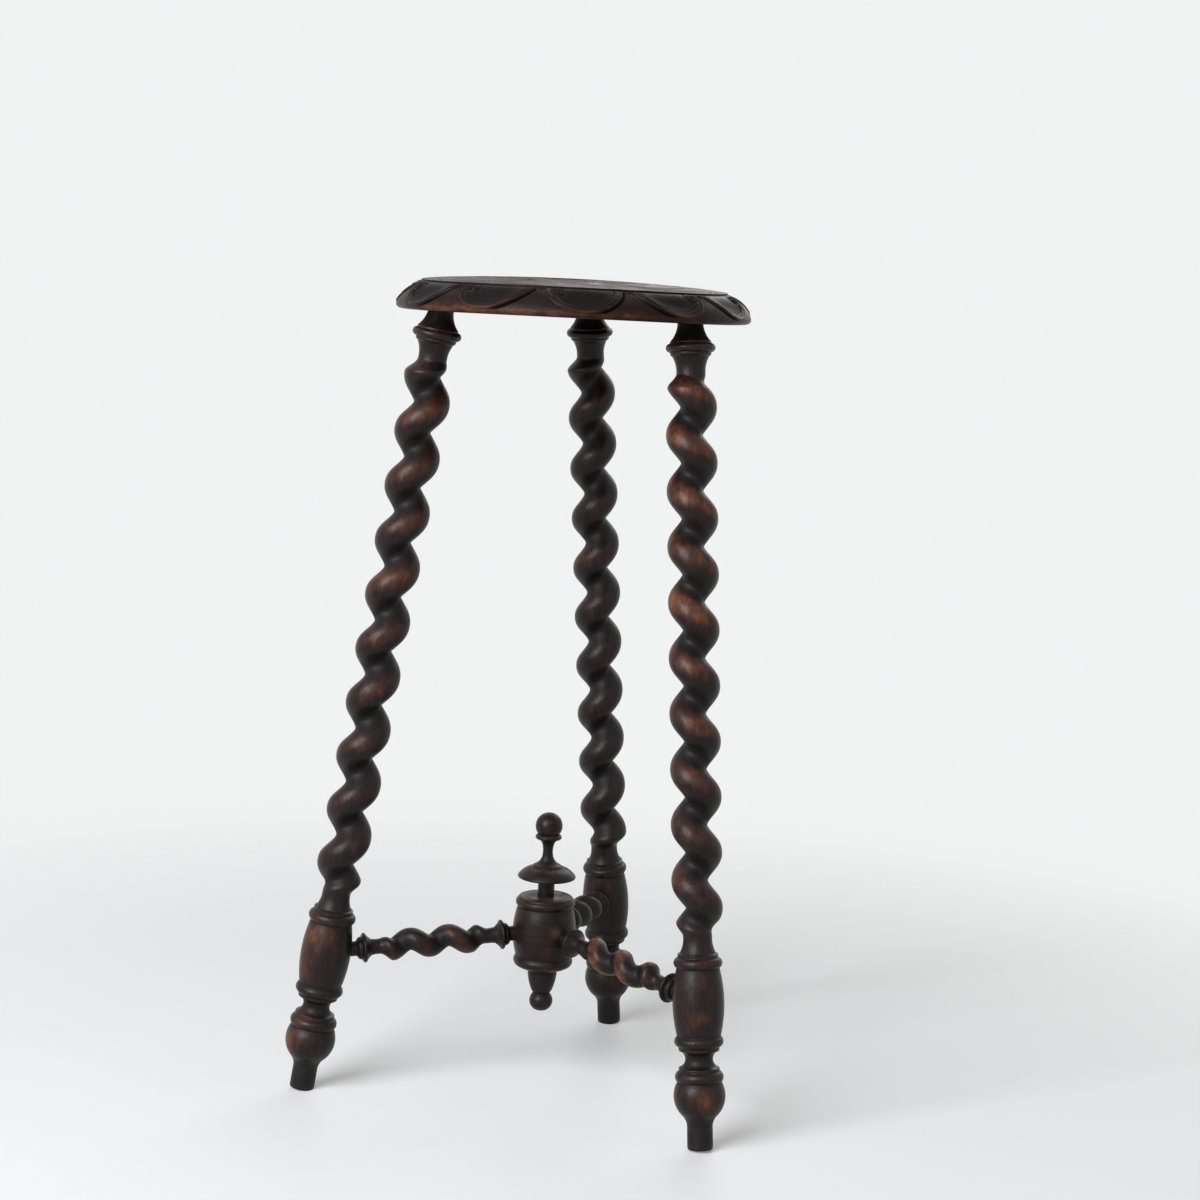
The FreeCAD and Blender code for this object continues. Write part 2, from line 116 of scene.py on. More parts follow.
# Turned outlines from the lower end up: radius of the end face, then for each element its
# length, the radius at its end and the rise of its curve
LEG_FOOT = (
    9.6,
    (1.4, 10.8, 0.4),
    (18.6, 10.8, 0),
    (9, 15.2, -0.9),
    (27.8, 18.6, 4.75),
    (9.2, 17.2, 2.5),
    (2.8, 17.2, 0),
    (14.4, 17.2, -5.6),
    (3, 17.2, 0),
    (8.8, 18.4, 2.9),
    (57.4, 18, 3.5),
    (8.8, 17, 3),
    (3.2, 17, 0),
)
LEG_COLLAR = (
    15.4,
    (3.4, 17, 0.9),
    (7.4, 17.4, 3.6),
    (1.4, 17.4, 0),
    (15.4, 10.8, -1.6),
    (1, 10.8, 0),
)
SEAT_RIM = (
    149.6,
    (4.2, 152.5, 0.9),
    (19.1, 133, 3.4),
    (0, 131, 0),
    (1.7, 131, 0),
)
STRETCHER_END = (
    5.9,
    (0.8, 6.5, 0),
    (18, 6.5, 0),
    (3.2, 10, 0.7),
    (0.6, 9.6, 0),
    (1.4, 11.8, 0),
    (3.2, 11.8, 1.3),
    (4.8, 6.9, -0.3),
    (2, 6.9, 0),
)
HUB = (
    12.9,
    (3.8, 24.4, 0.9),
    (8, 24.3, 1.9),
    (45.2, 24.2, 3.65),
    (7, 24.4, 2),
    (2, 21.8, 0.6),
    (-0.6, 19.4, 0),
    (0.6, 18.4, 0),
    (0, 8, 0),
)
FINIAL = (
    6.7,
    (0.6, 7.3, 0),
    (27.9, 7.3, 0),
    (0, 24.6, 0),
    (2.4, 25.2, 0.7),
    (7.2, 14.6, 1.1),
    (-0.5, 14.1, 0),
    (0.8, 13.4, 0),
    (2.2, 11, 0.3),
    (6.7, 5, -0.9),
    (10.5, 5, -0.6),
    (5.8, 10.8, -1.3),
    (3.6, 10.2, 1.1),
    (0.5, 8.6, 0),
)
PENDANT = (
    5.4,
    (15.4, 7, 4.1),
    (4.6, 9.9, 0.4),
    (17.4, 13.1, 0.8),
)

# Mesh density: millimetres along an outline, columns round a piece, rows of points, the gap in
# radians at the ball's top, and the angle in degrees from which an edge is sharp
PROFILE_STEP = 0.5
TWISTED_COLUMNS = 64
TURNED_COLUMNS = 96
SEAT_COLUMNS = 1200
SEAT_UNDER_ROWS = 10
SEAT_TOP_ROWS = 110
BALL_ROWS = 60
BALL_TOP_GAP = 0.02
SHORTEST_STEP = 1e-9
SHARP_ANGLE = 50

# Wear of the turned parts: lengths over which an outline is smoothed, to soften its edges and to
# find its rings and full parts, then how far these stand out where rubbed, or lie in where darkened
EDGE_WEAR = 0.3
RING_REACH = 3.5
BELLY_REACH = 6
BODY_REACH = 24
RING_RUB = 12
BELLY_RUB = 7
MOST_BELLY = 4
MOST_RUBBED = 0.6
HOLLOW_DARKENING_DEPTH = 0.8
# Wear of the hub, finial and pendant, their dust, and how steeply up a face looks to hold it
HUB_WEAR = 0.4
HUB_DUST = 0.6
UP_FACING = 0.75

# Wear and painted light of the twists: shares of the strand's height from which its crest is polished
# and its lit upper flank lightened, or it is darkened in the groove, the least share of handling, and
# the painted shade at the piece's ends: from a length above the twist, and up to a height at the lower
# end
LIT_SIDE_POLISH_AND_LIGHT = 0.8
LIT_SIDE_START = 0.6
CREST_POLISH = 0.2
CREST_START = 0.5
LEAST_HANDLING = 0.5
GROOVE_EDGE = 0.55
GROOVE_FADE = 0.5
UPPER_PAINTED_SHADE = 0.3
UPPER_PAINTED_SHADE_START = 13
UPPER_PAINTED_SHADE_FADE = 6
LOWER_PAINTED_SHADE = 0.9
LOWER_PAINTED_SHADE_END = 20
LOWER_PAINTED_SHADE_FADE = 8


# Outlines

def arc_points(start, end, rise):
    """Points on the arc from start to end, both (height, radius), without the start."""
    start = np.array(start, float)
    end = np.array(end, float)
    chord = np.linalg.norm(end - start)
    count = max(2, int(math.ceil(chord / PROFILE_STEP * 2)))
    share = np.linspace(0, 1, count + 1)[1:, None]
    line = start + (end - start) * share
    if not rise:
        return line
    outward = np.array([-(end - start)[1], (end - start)[0]]) / chord
    bend = (chord * chord / 4 + rise * rise) / (2 * abs(rise))
    offset = (share - 0.5) * chord
    height = np.sqrt(np.maximum(bend * bend - offset * offset, 0)) - (bend - abs(rise))
    return line + outward * height * np.sign(rise)


def outline(turning, base=0.0):
    """Dense (height, radius) points of a turned outline."""
    points = [np.array([[base, turning[0]]])]
    for length, radius, rise in turning[1:]:
        start = points[-1][-1]
        points.append(arc_points(start, (start[0] + length, radius), rise))
    return np.vstack(points)


def turned_length(turning):
    """Length of a turned outline along its axis."""
    return sum(element[0] for element in turning[1:])


def blur(values, sigma):
    """Gaussian blur along an evenly spaced line, with its ends held."""
    reach = int(math.ceil(3 * sigma))
    kernel = np.exp(-0.5 * (np.arange(-reach, reach + 1) / sigma) ** 2)
    kernel /= kernel.sum()
    padded = np.pad(values, reach, mode="reflect", reflect_type="odd")
    return np.convolve(padded, kernel, mode="valid")


def worn_outline(points):
    """The outline at even steps, its corners softened, with how proud or sunk each point lies."""
    lengths = np.concatenate([[0], np.cumsum(np.linalg.norm(np.diff(points, axis=0), axis=1))])
    keep = np.concatenate([[True], np.diff(lengths) > SHORTEST_STEP])
    steps = np.linspace(0, lengths[-1], int(lengths[-1] / PROFILE_STEP) + 1)
    height = np.interp(steps, lengths[keep], points[keep, 0])
    radius = np.interp(steps, lengths[keep], points[keep, 1])
    soft_height = blur(height, EDGE_WEAR / PROFILE_STEP)
    soft_radius = blur(radius, EDGE_WEAR / PROFILE_STEP)
    proud = soft_radius - blur(soft_radius, RING_REACH / PROFILE_STEP)
    return soft_height, soft_radius, proud


def rubbed(radius, proud):
    """Wear of a turned outline: its rings' edges and the bellies of its full parts."""
    belly = blur(radius, BELLY_REACH / PROFILE_STEP) - blur(radius, BODY_REACH / PROFILE_STEP)
    return np.clip(proud / RING_RUB + np.clip(belly, 0, MOST_BELLY) / BELLY_RUB, 0, MOST_RUBBED)


# Smooth steps and spots

def ease(share):
    """Smooth step from 0 at 0 to 1 at 1."""
    share = np.clip(share, 0, 1)
    return share * share * (3 - 2 * share)


def above(share, low):
    """Smooth step from 0 at low to 1 at 1."""
    return ease((share - low) / (1 - low))


def ridge(value, middle, width):
    """Smooth hump of height 1 at the middle."""
    return np.exp(-(((value - middle) / width) ** 2))


def angle_from(angle, middle):
    """Angle from a direction given in degrees, within half a turn to either side."""
    return np.angle(np.exp(1j * (angle - math.radians(middle))))


def from_spot(height, radius, angle, spot_height, spot_angle):
    """Distance over a turned piece from a spot at a height along it and an angle about it."""
    return np.hypot(height[:, None] - spot_height, radius * angle_from(angle, spot_angle))


# Meshes

def spindle(name, radius, height, turn, layers, place, material, grain_axis=2):
    """Closed mesh from rows of radii and heights, with its grain along one local axis."""
    rows, columns = radius.shape
    angle = turn[:, None] + np.linspace(0, 2 * math.pi, columns, endpoint=False)[None, :]
    local = np.stack([radius * np.cos(angle), radius * np.sin(angle), height], axis=-1) * MM
    ends = np.array([[0, 0, height[0].mean()], [0, 0, height[-1].mean()]]) * MM
    local = np.vstack([local.reshape(-1, 3), ends])
    number = np.arange(rows * columns).reshape(rows, columns)
    right = np.roll(number, -1, axis=1)
    quads = np.stack([number[:-1], right[:-1], right[1:], number[1:]], axis=-1).reshape(-1, 4)
    low_cap = np.stack([right[0], number[0], np.full(columns, rows * columns)], axis=-1)
    high_cap = np.stack([number[-1], right[-1], np.full(columns, rows * columns + 1)], axis=-1)
    mesh = bpy.data.meshes.new(name)
    mesh.from_pydata(local.tolist(), [], quads.tolist() + low_cap.tolist() + high_cap.tolist())
    give(mesh, "grain", "FLOAT_VECTOR", np.roll(local, 2 - grain_axis, axis=1))
    for layer, values in layers.items():
        give(mesh, layer, "FLOAT", np.append(values.ravel(), [values[0].mean(), values[-1].mean()]))
    mesh.transform(place)
    mesh.shade_smooth()
    mesh.set_sharp_from_angle(angle=math.radians(SHARP_ANGLE))
    piece = bpy.data.objects.new(name, mesh)
    bpy.context.collection.objects.link(piece)
    mesh.materials.append(material)
    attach(piece, "root")
    return piece


def give(mesh, name, kind, values):
    """Store one value per vertex for the materials to read."""
    layer = mesh.attributes.new(name, kind, "POINT")
    layer.data.foreach_set("vector" if kind == "FLOAT_VECTOR" else "value", np.ravel(values).astype("f"))


def plain_turning(name, points, place, material, smears=()):
    """Turned piece with no twist, dusty where it looks up and pale where old glue is smeared."""
    height, radius, proud = worn_outline(points)
    shape = (len(height), TURNED_COLUMNS)
    angle = np.linspace(0, 2 * math.pi, TURNED_COLUMNS, endpoint=False)[None, :]
    facing_up = -np.gradient(radius) / np.hypot(np.gradient(radius), np.gradient(height))
    bloom = np.broadcast_to(HUB_DUST * above(facing_up, UP_FACING)[:, None], shape)
    for smear_height, smear_angle, smear_radius in smears:
        away = from_spot(height, radius[:, None], angle, smear_height, smear_angle)
        bloom = bloom + ridge(away, 0, smear_radius)
    layers = {
        "wear_and_light": np.broadcast_to(HUB_WEAR * rubbed(radius, proud)[:, None], shape),
        "darkening_and_shade": np.broadcast_to(np.clip(-proud / HOLLOW_DARKENING_DEPTH, 0, 1)[:, None], shape),
        "bloom": bloom,
    }
    return spindle(
        name,
        np.broadcast_to(radius[:, None], shape),
        np.broadcast_to(height[:, None], shape),
        np.zeros(len(height)),
        layers,
        place,
        material,
    )


def strand_radius(angle, twist):
    """Radius of the twist's section at an angle from the bottom of its groove."""
    middle = (twist["crest"] + twist["root"]) / 4
    swing = (twist["crest"] - twist["root"]) / 2
    half_flank = twist["flank"] / 2
    return middle + half_flank - swing * np.cos(angle) + (middle - half_flank) * np.cos(2 * angle)


def twisted_turning(name, points, twist, span, winding, worn_and_lit, spots, place, material):
    """Turned piece with one strand wound round it between two heights."""
    hand, pitch, groove_height, groove_angle = winding
    height, base, proud = worn_outline(points)
    from_end = np.minimum(height - span[0], span[1] - height)
    grown = ease((from_end - twist["plain"]) / twist["fade"])[:, None]
    turn = math.radians(groove_angle) + hand * 2 * math.pi * (height - groove_height) / pitch
    angle = np.linspace(0, 2 * math.pi, TWISTED_COLUMNS, endpoint=False)[None, :]
    strand = strand_radius(angle, twist)
    radius = base[:, None] + grown * (strand - base[:, None])

    # Hands have polished the strand's crest, and painted light lightens its upper flank, where the light
    # falls, in the wear colours; both more so towards its upper end
    strand_at_lit_side = strand_radius(angle + hand * twist["lit_side"], twist)
    strand_depth = twist["crest"] - twist["root"]
    out_of_groove = (strand - twist["root"]) / strand_depth
    on_lit_side = (strand_at_lit_side - twist["root"]) / strand_depth
    polished_and_lit = LIT_SIDE_POLISH_AND_LIGHT * above(on_lit_side, LIT_SIDE_START)
    polished_and_lit = polished_and_lit + CREST_POLISH * above(out_of_groove, CREST_START)
    handled = np.interp(height, span, (LEAST_HANDLING, 1))[:, None]
    rubbed_turning = twist["turned_wear"] * (1 - grown) * rubbed(base, proud)[:, None]
    wear_and_light = worn_and_lit * np.clip(polished_and_lit * grown * handled + rubbed_turning, 0, 1)
    for spot_height, spot_angle, spot_radius, strength in spots:
        away = from_spot(height, radius, turn[:, None] + angle, spot_height, spot_angle)
        wear_and_light = wear_and_light + strength * ridge(away, 0, spot_radius)

    # Darker in the groove and in the hollows between the rings, and painted shade at both ends
    in_groove = ease((GROOVE_EDGE - out_of_groove) / GROOVE_FADE) * grown
    in_hollows = -(1 - grown) * proud[:, None] / HOLLOW_DARKENING_DEPTH
    # Painted shade where the piece runs into the seat, the hub or a leg, and where the foot stands on
    # the floor
    painted_shade_upper = UPPER_PAINTED_SHADE * ease((height - span[1] - UPPER_PAINTED_SHADE_START) / UPPER_PAINTED_SHADE_FADE)
    painted_shade_lower = LOWER_PAINTED_SHADE * ease((LOWER_PAINTED_SHADE_END - height) / LOWER_PAINTED_SHADE_FADE)
    painted_shade_at_ends = (painted_shade_upper + painted_shade_lower)[:, None]
    darkening_and_shade = np.clip(in_groove + in_hollows + painted_shade_at_ends, 0, 1)
    rows = np.broadcast_to(height[:, None], radius.shape)
    return spindle(name, radius, rows, turn, {"wear_and_light": wear_and_light, "darkening_and_shade": darkening_and_shade}, place, material)


# Places

def lift(height):
    return Matrix.Translation((0, 0, height * MM))


def line_up(start, end, across):
    """Matrix at start with local Z towards end and local Y near the given direction."""
    axis = (end - start).normalized()
    side = across.cross(axis).normalized()
    up = axis.cross(side)
    turned = Matrix((side, up, axis)).transposed().to_4x4()
    return Matrix.Translation(start * MM) @ turned


def leg_axis(number):
    """Points where a leg's axis meets the floor and the seat's underside."""
    foot_angle = math.radians(FRONT_LEG_ANGLE + LEG_SPACING * number)
    head_angle = foot_angle + math.radians(LEG_SKEW)
    foot = Vector((math.cos(foot_angle), math.sin(foot_angle), 0)) * FOOT_CIRCLE
    head = Vector((math.cos(head_angle), math.sin(head_angle), 0)) * HEAD_CIRCLE
    head.z = SEAT_UNDERSIDE
    return foot, head


def leg_start(number):
    """Foot's end on the leg's axis, lifted so that only its worn corner meets the floor."""
    foot, head = leg_axis(number)
    axis = (head - foot).normalized()
    lean = math.hypot(axis.x, axis.y)
    return foot + axis * ((LEG_FOOT[1][1] * lean - FOOT_WEAR) / axis.z)


def stretcher_line(number):
    """Points on the leg's axis and the hub's axis that a stretcher runs between."""
    foot, head = leg_axis(number)
    axis = (head - foot).normalized()
    return leg_start(number) + axis * SOCKET_HEIGHT, Vector((0, 0, HUB_CENTRE))


# Materials

class Wiring:
    """Short hand for adding and joining the nodes of one material."""

    def __init__(self, name):
        self.material = bpy.data.materials.new(name)
        self.material.use_nodes = True
        self.tree = self.material.node_tree
        self.shader = self.tree.nodes["Principled BSDF"]

    def add(self, kind, settings=None, **inputs):
        node = self.tree.nodes.new(kind)
        for key, value in (settings or {}).items():
            setattr(node, key, value)
        for key, value in inputs.items():
            self.set(node.inputs[key.replace("_", " ")], value)
        return node

    def set(self, socket, value):
        if isinstance(value, bpy.types.NodeSocket):
            self.tree.links.new(value, socket)
        else:
            socket.default_value = value

    def value(self, name):
        return self.add("ShaderNodeAttribute", {"attribute_name": name}).outputs["Fac"]

    def math(self, operation, first, second=0.0):
        node = self.add("ShaderNodeMath", {"operation": operation})
        self.set(node.inputs[0], first)
        self.set(node.inputs[1], second)
        return node.outputs[0]

    def noise(self, vector, scale=1.0, detail=4.0, roughness=0.55):
        node = self.add("ShaderNodeTexNoise", Scale=scale, Detail=detail, Roughness=roughness)
        self.set(node.inputs["Vector"], vector)
        return node.outputs["Fac"]

    def stretch(self, vector, scale):
        node = self.add("ShaderNodeMapping", Vector=vector, Scale=scale)
        return node.outputs[0]

    def between(self, value, limits):
        """0 below the first limit, 1 above the second, smooth between."""
        node = self.add("ShaderNodeMapRange", {"interpolation_type": "SMOOTHSTEP"})
        self.set(node.inputs["Value"], value)
        self.set(node.inputs["From Min"], limits[0])
        self.set(node.inputs["From Max"], limits[1])
        return node.outputs[0]

    def mix(self, share, first, second):
        node = self.add("ShaderNodeMix", {"data_type": "RGBA"})
        self.set(node.inputs["Factor"], share)
        self.set(node.inputs["A"], first)
        self.set(node.inputs["B"], second)
        return node.outputs["Result"]


DARK_OAK = (0.0080, 0.0050, 0.0048, 1)
BROWN_OAK = (0.0185, 0.0090, 0.0074, 1)
# The worn colours also serve as painted light on the lit upper flanks of the legs' twists
RED_OAK = (0.047, 0.0166, 0.0112, 1)
WORN_AND_LIT_OAK = (0.170, 0.063, 0.029, 1)
# Near-black of open pores and of darkened hollows, also used for painted shade
PORE_AND_SHADE_BLACK = (0.0042, 0.0034, 0.0034, 1)
WAX_BLOOM = (0.080, 0.055, 0.039, 1)

# The oak's patterns per metre, twice across the grain and once along it
STREAKS = (330, 330, 9)
TURNING_LINES = (18, 18, 480)
PORES = (1500, 1500, 48)
RUBS = (140, 140, 50)
BLOTCHES = (90, 90, 10)
PATCHES = 34.0

# Values between which each pattern comes in, and shares in which patterns add up
BROWN_STREAKS = (0.36, 0.68)
OPEN_PORES = (0.56, 0.66)
DUSTY_BLOTCHES = (0.34, 0.58)
RED_WEAR = (1.85, 2.45)
BARE_WEAR = (2.3, 3.1)
BARE_STREAKS = (-0.3, 0.55)
RUBS_IN_WEAR = 1.6
PATCHES_IN_WEAR = 1.8
PORE_DARKNESS = 0.55
DARKENING_AND_SHADE_COVER = 0.85
RUB_ROUGHNESS = 0.22
DARKENING_AND_SHADE_ROUGHNESS = 0.18
DULL_ROUGHNESS = 0.4
PORE_RELIEF = -0.6
STREAK_RELIEF = 0.5
RELIEF_STRENGTH = 0.35
RELIEF_HEIGHT = 0.0004


def oak(name, worn_share, roughness, gloss=0.17, streak_scale=STREAKS):
    """Old waxed oak: streaks and pores along the grain, worn crests and painted light on lit flanks,
    dark hollows and painted shade, dull wax.
    """
    wiring = Wiring(name)
    grain = wiring.add("ShaderNodeAttribute", {"attribute_name": "grain"}).outputs["Vector"]
    streaks = wiring.noise(wiring.stretch(grain, streak_scale), detail=5.0, roughness=0.6)
    pores = wiring.noise(wiring.stretch(grain, PORES), detail=2.0, roughness=0.5)
    patches = wiring.noise(grain, PATCHES, detail=3.0)
    rubs = wiring.noise(wiring.stretch(grain, RUBS), detail=5.0, roughness=0.65)
    blotches = wiring.noise(wiring.stretch(grain, BLOTCHES), detail=6.0, roughness=0.6)
    wear_and_light = wiring.value("wear_and_light")
    darkening_and_shade = wiring.value("darkening_and_shade")
    dusty = wiring.value("bloom")

    body = wiring.mix(wiring.between(streaks, BROWN_STREAKS), DARK_OAK, BROWN_OAK)
    worn_and_lit = wiring.math("ADD", wear_and_light, wiring.math("MULTIPLY", rubs, RUBS_IN_WEAR))
    worn_and_lit = wiring.math("ADD", worn_and_lit, wiring.math("MULTIPLY", patches, PATCHES_IN_WEAR))
    reddened = wiring.math("MULTIPLY", wiring.between(worn_and_lit, RED_WEAR), worn_share)
    bared_and_lit = wiring.between(worn_and_lit, BARE_WEAR)
    bared_and_lit = wiring.math("MULTIPLY", bared_and_lit, wiring.between(streaks, BARE_STREAKS))
    bared_and_lit = wiring.math("MULTIPLY", bared_and_lit, worn_share)
    # The worn colours also paint light on the lit upper flanks of the legs' twists
    colour = wiring.mix(reddened, body, RED_OAK)
    colour = wiring.mix(bared_and_lit, colour, WORN_AND_LIT_OAK)
    pore_share = wiring.between(pores, OPEN_PORES)
    colour = wiring.mix(wiring.math("MULTIPLY", pore_share, PORE_DARKNESS), colour, PORE_AND_SHADE_BLACK)
    # Darkening in hollows, and painted shade at the pieces' ends and under the seat's plateau
    colour = wiring.mix(wiring.math("MULTIPLY", darkening_and_shade, DARKENING_AND_SHADE_COVER), colour, PORE_AND_SHADE_BLACK)
    bloom = wiring.math("MULTIPLY", dusty, wiring.between(blotches, DUSTY_BLOTCHES))
    colour = wiring.mix(bloom, colour, WAX_BLOOM)
    wiring.set(wiring.shader.inputs["Base Color"], colour)

    rough = wiring.math("MULTIPLY_ADD", rubs, RUB_ROUGHNESS)
    rough.node.inputs[2].default_value = roughness
    rough = wiring.math("ADD", rough, wiring.math("MULTIPLY", darkening_and_shade, DARKENING_AND_SHADE_ROUGHNESS))
    rubbed_through = wiring.math("SUBTRACT", dusty, bloom)
    rough = wiring.math("ADD", rough, wiring.math("MULTIPLY", rubbed_through, DULL_ROUGHNESS))
    wiring.set(wiring.shader.inputs["Roughness"], rough)
    wiring.shader.inputs["Specular IOR Level"].default_value = gloss

    relief = wiring.math("MULTIPLY", pore_share, PORE_RELIEF)
    relief = wiring.math("ADD", relief, wiring.math("MULTIPLY", streaks, STREAK_RELIEF))
    bump = wiring.add("ShaderNodeBump", Strength=RELIEF_STRENGTH, Distance=RELIEF_HEIGHT, Height=relief)
    wiring.set(wiring.shader.inputs["Normal"], bump.outputs[0])
    return wiring.material


leg_oak = oak("leg_oak", worn_share=1.0, roughness=0.22, gloss=0.2)
stretcher_oak = oak("stretcher_oak", worn_share=1.0, roughness=0.22)
hub_oak = oak("hub_oak", worn_share=0.5, roughness=0.22, streak_scale=TURNING_LINES)
seat_oak = oak("seat_oak", worn_share=0.75, roughness=0.24, gloss=0.09)


# The legs

def leg_points(length):
    """Outline of a whole leg, with plain necks where the twist will be, and the twist's two ends."""
    foot = outline(LEG_FOOT)
    low = turned_length(LEG_FOOT)
    high = length - turned_length(LEG_COLLAR)
    heights = np.arange(low, high, PROFILE_STEP)
    near = np.clip(1 - np.minimum(heights - low, high - heights) / LEG_COVE, 0, 1)
    neck = LEG_NECK + (LEG_NECK_RIM - LEG_NECK) * near**2
    collar = outline(LEG_COLLAR, high)
    tenon = np.array([[length + TENON_SHOWN, LEG_COLLAR[-1][1]]])
    return np.vstack([foot, np.column_stack([heights, neck]), collar, tenon]), (low, high)


for number, (name, (*winding, worn_and_lit)) in enumerate(LEGS.items()):
    start = leg_start(number)
    head = leg_axis(number)[1]
    points, span = leg_points((head - start).length)
    leg = twisted_turning(
        f"turned_leg_{name}",
        points,
        LEG_TWIST,
        span,
        winding,
        worn_and_lit,
        LEG_SPOTS[name],
        line_up(start, head, Vector((0, 1, 0))),
        leg_oak,
    )
    # The foot's corner is worn flat on the floor
    for vertex in leg.data.vertices:
        vertex.co.z = max(vertex.co.z, 0.0)
    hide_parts(f"leg_{name}")

# The stretchers

for number, (name, (groove, worn_and_lit)) in enumerate(STRETCHERS.items()):
    at_leg, at_hub = stretcher_line(number)
    reach = (at_hub - at_leg).length
    near_end = outline(STRETCHER_END, LEG_TENON_STOP)
    far_end = outline(STRETCHER_END)
    far_end[:, 0] = reach - HUB_TENON_STOP - far_end[:, 0]
    low = near_end[-1, 0]
    high = far_end[-1, 0]
    heights = np.arange(low, high, PROFILE_STEP)
    waist = np.column_stack([heights, np.full(len(heights), STRETCHER_WAIST)])
    points = np.vstack([near_end, waist, far_end[::-1]])
    stretcher = twisted_turning(
        f"turned_stretcher_{name}",
        points,
        STRETCHER_TWIST,
        (low, high),
        (1, STRETCHER_PITCH, low + groove, -90),
        worn_and_lit,
        (),
        line_up(at_leg, at_hub, Vector((0, 0, 1))),
        stretcher_oak,
    )
    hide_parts(f"stretcher_{name}")

# The hub, with its finial and pendant

hub_base = HUB_CENTRE - HUB_SOCKET_HEIGHT
hub_top = hub_base + turned_length(HUB)
hub = plain_turning("turned_hub", outline(HUB), lift(hub_base), hub_oak, GLUE_SMEARS)
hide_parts("hub")

ball_centre = turned_length(FINIAL) + FINIAL_BALL - FINIAL_BALL_SEAT
ball_start = math.acos((FINIAL_BALL - FINIAL_BALL_SEAT) / FINIAL_BALL)
ball_angles = np.linspace(ball_start, math.pi - BALL_TOP_GAP, BALL_ROWS)
ball = np.column_stack(
    [ball_centre - FINIAL_BALL * np.cos(ball_angles), FINIAL_BALL * np.sin(ball_angles)]
)
finial = plain_turning(
    "turned_finial",
    np.vstack([outline(FINIAL), ball]),
    lift(hub_top - FINIAL_TENON),
    hub_oak,
)
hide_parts("finial")

pendant_base = hub_base - turned_length(PENDANT)
pendant = plain_turning("turned_pendant", outline(PENDANT), lift(pendant_base), hub_oak)
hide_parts("pendant")


# The seat

# Lobes round the rim, their bowls and the curls at their ends
LOBES = 12
LOBE_STEP = 2 * math.pi / LOBES
LOBE_TURN = 3.3
LOBE_HALF_WIDTH = 34.5
LOBE_DEPTH = 28.5
LOBE_RADIUS = 145
LOBE_GAP = math.pi * LOBE_RADIUS / LOBES
LOBE_SKEW = 0.4
LOBE_BOTTOM = 0.15
LOBE_BOTTOM_FADE = 0.4
MIRROR_ANGLE = 14
LEAN_GAIN = 2
SIDE_GAIN = 3
BOWL_HALF_WIDTH = 0.78 * LOBE_HALF_WIDTH
BOWL_LENGTH = 0.92 * LOBE_DEPTH
BOWL_SLOPE = 0.6 * LOBE_DEPTH
BOWL_DEPTH = 5.4
CURL_ACROSS = 23.5
CURL_DOWN = 6
CURL_PITCH = 3.4
CURL_RADIUS = 8
CURL_FADE = 2
CURL_LIMIT = 0.9
CURL_LIMIT_FADE = 0.08
CURL_SWING = 0.75
CURL_SINK = 0.5
# Lines within a lobe's edge: share of the lobe's size at which each runs, its height and half-width
INNER_LINES = ((0.76, -0.8, 0.022), (0.82, 0.45, 0.032), (0.875, -0.55, 0.018))
INNER_LINES_LEAST = 0.25
EDGE_RIDGE = (0.93, 0.55, 0.032)
EDGE_LINE_DEPTH = 0.8
EDGE_LINE_WIDTH = 0.028
SLIT_DEPTH = 2.8
SLIT_WIDENING = 0.01
# Ground between the lobes, with a fan of lines: share of the gap at which each runs, and its depth
GROUND_DEPTH = 0.45
GROUND_EDGE = 0.05
FAN_LINES = ((0, 0.5), (0.42, 0.6))
FAN_WIDTH = 0.1
FAN_LENGTH = 17
FAN_FADE = 8
# Limits of the rim's carving, down from the plateau and up from the underside
PLATEAU_MARGIN = 0.2
CARVING_START = 1.5
CARVING_END = 31
CARVING_FADE = 3
PLAIN_FOOT = 1
# Petals and a scribed circle on the top
PETAL_MIDDLE = 74
PETAL_HALF_LENGTH = 40
PETAL_HALF_ANGLE = 0.9 * math.pi / LOBES
PETAL_DEPTH = 1.1
PETAL_FULLNESS = 0.8
PETAL_LINE = (1.07, 0.04)
SCRIBED_CIRCLE = (121, 0.8)
SCRIBED_DEPTH = 0.5
# The board: its innermost ring, the step to the rings beside its rim, and its cup across the grain
INNER_RING = 12
RING_STEP = 1
SEAT_CUP = 3.6
# Wear of the rim and top, darkening in the carving and on the underside, a painted shadow line in the
# plateau's seam, and dull wax on the top
HANDLED_ANGLE = -110
HANDLED_WIDTH = 0.4
LEAST_HANDLED = 0.25
LOW_EDGE_WEAR = 0.62
LOW_EDGE_START = 18
LOW_EDGE_FADE = 11
RIM_RUB = 2
RIDGE_WEAR = 0.3
TOP_WEAR = 0.1
RIM_DARKENING_DEPTH = 2.4
SEAM_SHADOW_REACH = 0.6
UNDER_DARKENING = 0.3
TOP_DARKENING_DEPTH = 1.5
MOST_TOP_DARKENING = 0.8
TOP_BLOOM = 0.95
PETAL_BLOOM_LOSS = 0.45


